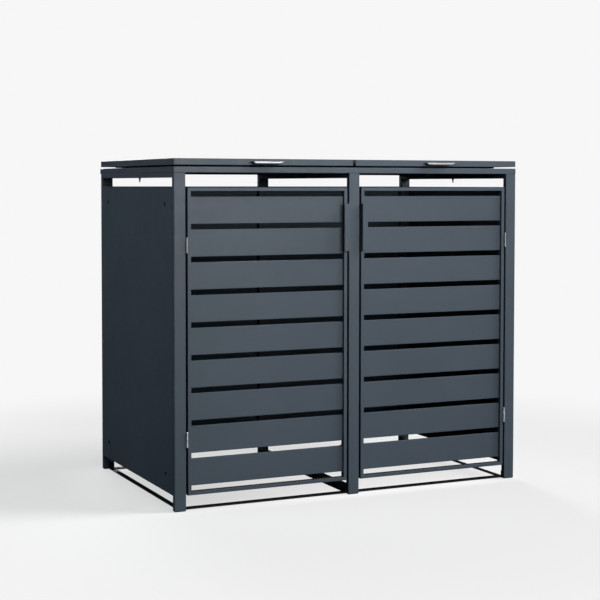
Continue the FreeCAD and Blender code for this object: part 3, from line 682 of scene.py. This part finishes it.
plateY = catchLow[1] + plateThick
plates = [placed(plate, (x, plateY, z), "-Y") for z in catchHeights for x in catch["plateSpots"]]
addPiece("catchHousings", housings, "plastic", instead=["door_catches"])
addPiece("catchPlates", plates, "zinc")
print("catches:", len(housings))

# Joint strips: thin foam between the panels and the posts, and a wider one behind each door's hinge stile
strip = {
    "size": (0.010, 0.0009),  # wide and thin
    "corner": 0.0002,
    "short": (0.0010, 0.0015),  # off the panel's foot, and off its top
    "halfGap": 0.00025,  # half of what is between a panel and a post
    "deep": {"X": 0.0052, "Y": 0.0051},  # from the panel's outer face to the strip's middle
    "stop": (0.014, 0.0012),
    "stopPast": 0.0015,  # out from the stile's edge
    "stopBehind": 0.0012,
}
panelFoot, panelTop = cornersOf("side_panel_left")[:, 2]
stripLevels = [(panelFoot + strip["short"][0], 0), (panelTop - strip["short"][1], 0)]


def panelStrips(node, facing):  # one at each upright edge of a panel, in the middle of its gap
    out, edges = outerFace(node, facing)
    wide, thin = strip["size"]
    size = (wide, thin) if facing.endswith("X") else (thin, wide)
    shape = roundedBlock(*size, stripLevels, strip["corner"], steps=2)
    middle = out - math.copysign(strip["deep"][facing[-1]], out)
    gaps = edges + (-strip["halfGap"], strip["halfGap"])
    return [placed(shape, panelSpot(facing, middle, gap)) for gap in gaps]


strips = [one for node, facing in panels.items() for one in panelStrips(node, facing)]
stopStrip = roundedBlock(*strip["stop"], stripLevels, strip["corner"], steps=2)
stileLow, stileHigh = cornersOf("door_left_stiles")
stopRow = stileHigh[1] + strip["stopBehind"]
for x in (stileLow[0], cornersOf("door_right_stiles")[1][0]):
    strips.append(placed(stopStrip, (x + math.copysign(strip["stopPast"], x), stopRow, 0)))
addPiece("jointStrips", strips, "rubber")
print("joint strips:", len(strips))

# Edge strips: rubber over the panels' upper edges, and dark strips on the doors' lower rails where the slats
# stop short of them, which stand in for the shade on those rails' tops: painted shade
edging = {
    "rise": {"X": 0.0016, "Y": 0.0024},  # over the side panels, and over the back panels
    "lap": {"X": 0.0, "Y": 0.0002},  # past the panel's faces
    "short": 0.0005,  # at a panel's ends
    "sunk": 0.0004,
    "round": 0.0005,
    "corner": 0.0009,
    "sillRise": 0.0007,
    "sillInset": 0.0008,  # in from the rail's faces
    "railTall": 0.012,
}


def edgeStrip(low, high, height, rise):
    # a flat bar over a rectangle from low to high, its upper edges broken
    levels = [
        (height - edging["sunk"], 0),
        (height + rise - edging["round"], 0),
        (height + rise, edging["round"]),
    ]
    block = roundedBlock(*(high - low), levels, edging["corner"], steps=3)
    return placed(block, (*((low + high) / 2), 0))


def panelEdge(node, axis):  # shorter than its panel, and past the faces by the lap
    corners = cornersOf(node)
    lap, short = edging["lap"][axis], edging["short"]
    margin = np.array((lap, -short) if axis == "X" else (-short, lap))
    low, high = corners[0, :2] - margin, corners[1, :2] + margin
    return edgeStrip(low, high, corners[1, 2], edging["rise"][axis])


# painted shade: a dark strip along the top of each door's lower rail
def addShadeSill(side):  # as long as the door's slats, and in from its lower rail's faces
    slatLow, slatHigh = cornersOf(f"door_{side}_slat_1")
    railLow, railHigh = cornersOf(f"door_{side}_rails")
    low = np.array([slatLow[0], railLow[1] + edging["sillInset"]])
    high = np.array([slatHigh[0], railHigh[1] - edging["sillInset"]])
    sill = [edgeStrip(low, high, railLow[2] + edging["railTall"], edging["sillRise"])]
    addPiece(f"sillShadeStrip_{side}", sill, "rubber", body=f"door_{side}")


edges = [panelEdge(node, facing[-1]) for node, facing in panels.items()]
addPiece("panelEdging", edges, "rubber")
for side in ("left", "right"):
    addShadeSill(side)
print("edge strips laid")

# Runners: dark rubber under the two cross bars, standing in for the contact shadow beneath them: painted
# shade
runner = {
    "deep": 0.022,
    "short": 0.002,  # off the outer posts at each end
    "fromPost": 0.0145,
    "corner": 0.002,
    "levels": [(0.0004, 0.0008), (0.0010, 0), (0.0024, 0), (0.0030, 0.0006)],
}
runnerLength = 2 * (posts["front", "right"][0][0] - runner["short"])
oneRunner = roundedBlock(runnerLength, runner["deep"], runner["levels"], runner["corner"])
runnerRows = (frontFace + runner["fromPost"], backFace - runner["fromPost"])
addPiece("barShadeRunners", [placed(oneRunner, (0, y, 0)) for y in runnerRows], "rubber")
print("runners:", len(runnerRows))

# Weld beads: a short run of overlapping scales where tubes meet, half sunk in them
weld = {
    "radius": 0.0020,
    "scale": 0.0022,
    "ripple": 0.16,
    "rings": (4, 12),  # for each scale, and at least
    "closing": (12, 0.02),  # the power that blunts the ends, and the least that is left there
    "tilt": (0.31, 0.52, 0.80),  # any direction that no bead runs along
    "underRail": 0.018,  # half the length under a top rail's end
    "underRim": 0.008,  # half the length beside a post's top
}


def weldBead(start, end, sides=10):
    # a tube about the line from start to end; its radius swells once for each scale and closes at both ends
    start, end = np.array(start, float), np.array(end, float)
    length = np.linalg.norm(end - start)
    perScale, least = weld["rings"]
    along = np.linspace(0, 1, max(int(length / weld["scale"] * perScale), least))
    scales = np.abs(np.sin(np.pi * along * length / weld["scale"]))
    power, closed = weld["closing"]
    closing = np.sqrt(np.clip(1 - np.abs(2 * along - 1) ** power, closed, 1))
    radius = weld["radius"] * (1 - weld["ripple"] * (1 - scales)) * closing
    forward = (end - start) / length
    aside = np.cross(forward, weld["tilt"])
    aside /= np.linalg.norm(aside)
    turn = np.linspace(0, 2 * np.pi, sides, endpoint=False)
    ring = np.cos(turn)[:, None] * aside + np.sin(turn)[:, None] * np.cross(forward, aside)
    return loft(start + along[:, None, None] * (end - start) + radius[:, None, None] * ring)


def columnBeads(column):
    # under both ends of the top rail, and beside the posts' tops where they look into a bay
    low, high = cornersOf(f"top_rail_{column}")
    x, z, half = (low[0] + high[0]) / 2, low[2], weld["underRail"]
    beads = [weldBead((x - half, y, z), (x + half, y, z)) for y in (low[1], high[1])]
    half = weld["underRim"]
    for row in rows:
        low, high = posts[row, column]
        y, z = (low[1] + high[1]) / 2, high[2]
        bays = [x for x in (low[0], high[0]) if abs(x) < posts["front", "right"][1][0]]
        beads += [weldBead((x, y - half, z), (x, y + half, z)) for x in bays]
    return beads


beads = [bead for column in columns for bead in columnBeads(column)]
addPiece("weldBeads", beads, "tube", crease=60)
print("weld beads:", len(beads))

# Floor: pale, with its own faint glow, and as bright as the backdrop where it runs out of sight
floorLook = {
    "radius": 60.0,
    "colour": (0.34, 0.34, 0.34),  # under its glow
    "bounce": (0.04, 0.04, 0.04),  # what the store gets back from it
    "glow": 0.487,
    # painted light: extra glow on the floor under the store
    "lift": 0.27,
    "under": {  # where the lift rises and falls along each axis
        "X": ((-0.90, 0.06), (0.50, 0.72)),
        "Y": ((-0.46, -0.34), (0.36, 0.50)),
    },
    "fade": (0.95, 2.5),  # distances from the middle where the backdrop begins and where it is all
    "backdrop": 0.93,
}


def floorGlow(tree, place):
    # the floor's own glow, plus painted light under the store, standing in for light bounced about there,
    # most towards the right
    parts = addNode(tree, "ShaderNodeSeparateXYZ", (-1200, -600))
    link(tree, place, parts.inputs[0])
    lift, at = floorLook["lift"], -800
    for axis, (rising, falling) in floorLook["under"].items():
        for ends, span in ((rising, (0, 1)), (falling, (1, 0))):
            slope = between(tree, parts.outputs[axis], *span, (at - 200, -800), *ends)
            lift = combined(tree, "MULTIPLY", slope, lift, (at, -600))
            at += 200
    return combined(tree, "ADD", lift, floorLook["glow"], (at, -600))


def floorFade(tree, place):  # a smooth step over the distance from the middle of the floor
    distance = addNode(tree, "ShaderNodeVectorMath", (-1100, 0), operation="LENGTH")
    link(tree, place, distance.inputs[0])
    fade = addNode(tree, "ShaderNodeMapRange", (-900, 0), interpolation_type="SMOOTHSTEP")
    fade.inputs["From Min"].default_value, fade.inputs["From Max"].default_value = floorLook["fade"]
    link(tree, distance.outputs["Value"], fade.inputs["Value"])
    return fade.outputs["Result"]


def mixed(tree, amount, first, second, at):  # two shaders mixed by an amount
    mix = addNode(tree, "ShaderNodeMixShader", at)
    for source, socket in zip((amount, first, second), mix.inputs):
        link(tree, source, socket)
    return mix.outputs["Shader"]


def floorFinish():
    # for the eye the pale floor fades into the backdrop; for all other light it is a plain dark floor
    material, tree, shader, place = newFinish("paleFloor", Roughness=0.7, Specular_IOR_Level=0.0)
    shader.inputs["Base Color"].default_value = (*floorLook["colour"], 1)
    shader.inputs["Emission Color"].default_value = (1, 1, 1, 1)
    link(tree, floorGlow(tree, place), shader.inputs["Emission Strength"])
    far = addNode(tree, "ShaderNodeEmission", (-300, -300), Color=(*[floorLook["backdrop"]] * 3, 1))
    bounce = addNode(tree, "ShaderNodeBsdfDiffuse", (300, -300), Color=(*floorLook["bounce"], 1))
    sight = addNode(tree, "ShaderNodeLightPath", (300, 400)).outputs["Is Camera Ray"]
    near = mixed(tree, floorFade(tree, place), shader.outputs["BSDF"], far.outputs["Emission"], (300, 0))
    seen = mixed(tree, sight, bounce.outputs["BSDF"], near, (600, 0))
    link(tree, seen, tree.nodes["Material Output"].inputs["Surface"])
    return material


bpy.ops.mesh.primitive_circle_add(vertices=96, radius=floorLook["radius"], fill_type="NGON")
floor = bpy.context.object
floor.name = "floor"
floor.data.materials.append(floorFinish())
print("floor laid")

# Light: a plain bright backdrop, a sky that darkens away from the key, four soft boxes and a wide sun
sky = {
    "toward": (0.55, -0.55, 0.63),  # the brightest direction
    "low": 0.02,
    "high": 0.30,
    "span": (-0.2, 1),  # cosine of the angle to it, at the darkest and at the brightest
}


def studioSky():
    # for the eye the flat backdrop; for all other light a grey that rises the nearer a direction comes to
    # the brightest one
    world = bpy.data.worlds.new("studio")
    world.use_nodes = True
    tree = world.node_tree
    sight = addNode(tree, "ShaderNodeLightPath", (-600, 300))
    around = addNode(tree, "ShaderNodeTexCoord", (-1000, 0))
    nearness = addNode(tree, "ShaderNodeVectorMath", (-800, 0), operation="DOT_PRODUCT")
    nearness.inputs[1].default_value = sky["toward"]
    link(tree, around.outputs["Generated"], nearness.inputs[0])
    grey = between(tree, nearness.outputs["Value"], sky["low"], sky["high"], (-600, 0), *sky["span"])
    backdrop = addNode(tree, "ShaderNodeMix", (-300, 0), data_type="FLOAT")
    link(tree, sight.outputs["Is Camera Ray"], backdrop.inputs["Factor"])
    link(tree, grey, backdrop.inputs[2])
    backdrop.inputs[3].default_value = floorLook["backdrop"]
    link(tree, backdrop.outputs[0], tree.nodes["Background"].inputs["Color"])
    return world


bpy.context.scene.world = studioSky()

lamps = {
    "key": {
        "spot": (0.4, -4.2, 1.7),
        "aim": (0.4, -0.4, 1.75),
        "power": 38,
        "size": (2.8, 1.0),
        "spread": 80,
    },
    "low": {
        "spot": (0.2, -3.4, 0.3),
        "aim": (0.0, -0.4, -0.1),
        "power": 1.2,
        "size": (2.4, 0.3),
        "spread": 44,
    },
    "fill": {
        "spot": (-3.2, 0.5, 1.6),
        "aim": (-0.66, 0.0, 0.8),
        "power": 9.8,
        "size": (1.6, 1.6),
        "spread": 90,
        "tint": (0.93, 1.0, 1.07),
    },
    "rear": {
        "spot": (0.4, 3.6, 1.9),
        "aim": (0.0, 0.4, 0.9),
        "power": 16,
        "size": (2.4, 0.8),
        "spread": 42,
    },
    "sun": {"spot": (4.4, -1.5, 3.3), "aim": (0.0, 0.0, 0.0), "power": 3.3, "angle": 28},
}


def addLamp(name, spot, aim, power, size=None, spread=180, angle=0, tint=(1, 1, 1)):
    # a soft box turned to look from its spot at its aim, or a wide sun where it has no size
    data = bpy.data.lights.new(name, "AREA" if size else "SUN")
    data.energy, data.color = power, tint
    if size:
        data.shape = "RECTANGLE"
        data.size, data.size_y = size
        data.spread = math.radians(spread)
    else:
        data.angle = math.radians(angle)
    lamp = bpy.data.objects.new(name, data)
    lamp.location = spot
    lamp.rotation_euler = (Vector(aim) - Vector(spot)).to_track_quat("-Z", "Y").to_euler()
    bpy.context.scene.collection.objects.link(lamp)


for name, lamp in lamps.items():
    addLamp(name, **lamp)
print("lamps lit:", len(lamps))

# Camera: level with the lids' edge, front left
camera = {
    "spot": (-2.23467, -4.72501, 1.07623),
    "turn": 25.0768,
    "tilt": 2.4808,
    "roll": 0.0513,
    "lens": 84.671,
    "sensor": 36,
    "rise": -0.09,
}
cameraData = bpy.data.cameras.new("camera")
cameraData.lens = camera["lens"]
cameraData.sensor_width = camera["sensor"]
cameraData.shift_y = camera["rise"]
eye = bpy.data.objects.new("camera", cameraData)
bpy.context.scene.collection.objects.link(eye)
eye.matrix_world = (
    Matrix.Translation(camera["spot"])
    @ Matrix.Rotation(math.radians(-camera["turn"]), 4, "Z")
    @ Matrix.Rotation(math.radians(90 - camera["tilt"]), 4, "X")
    @ Matrix.Rotation(math.radians(camera["roll"]), 4, "Z")
)
bpy.context.scene.camera = eye
bpy.context.scene.view_settings.view_transform = "Standard"
print("stage set")
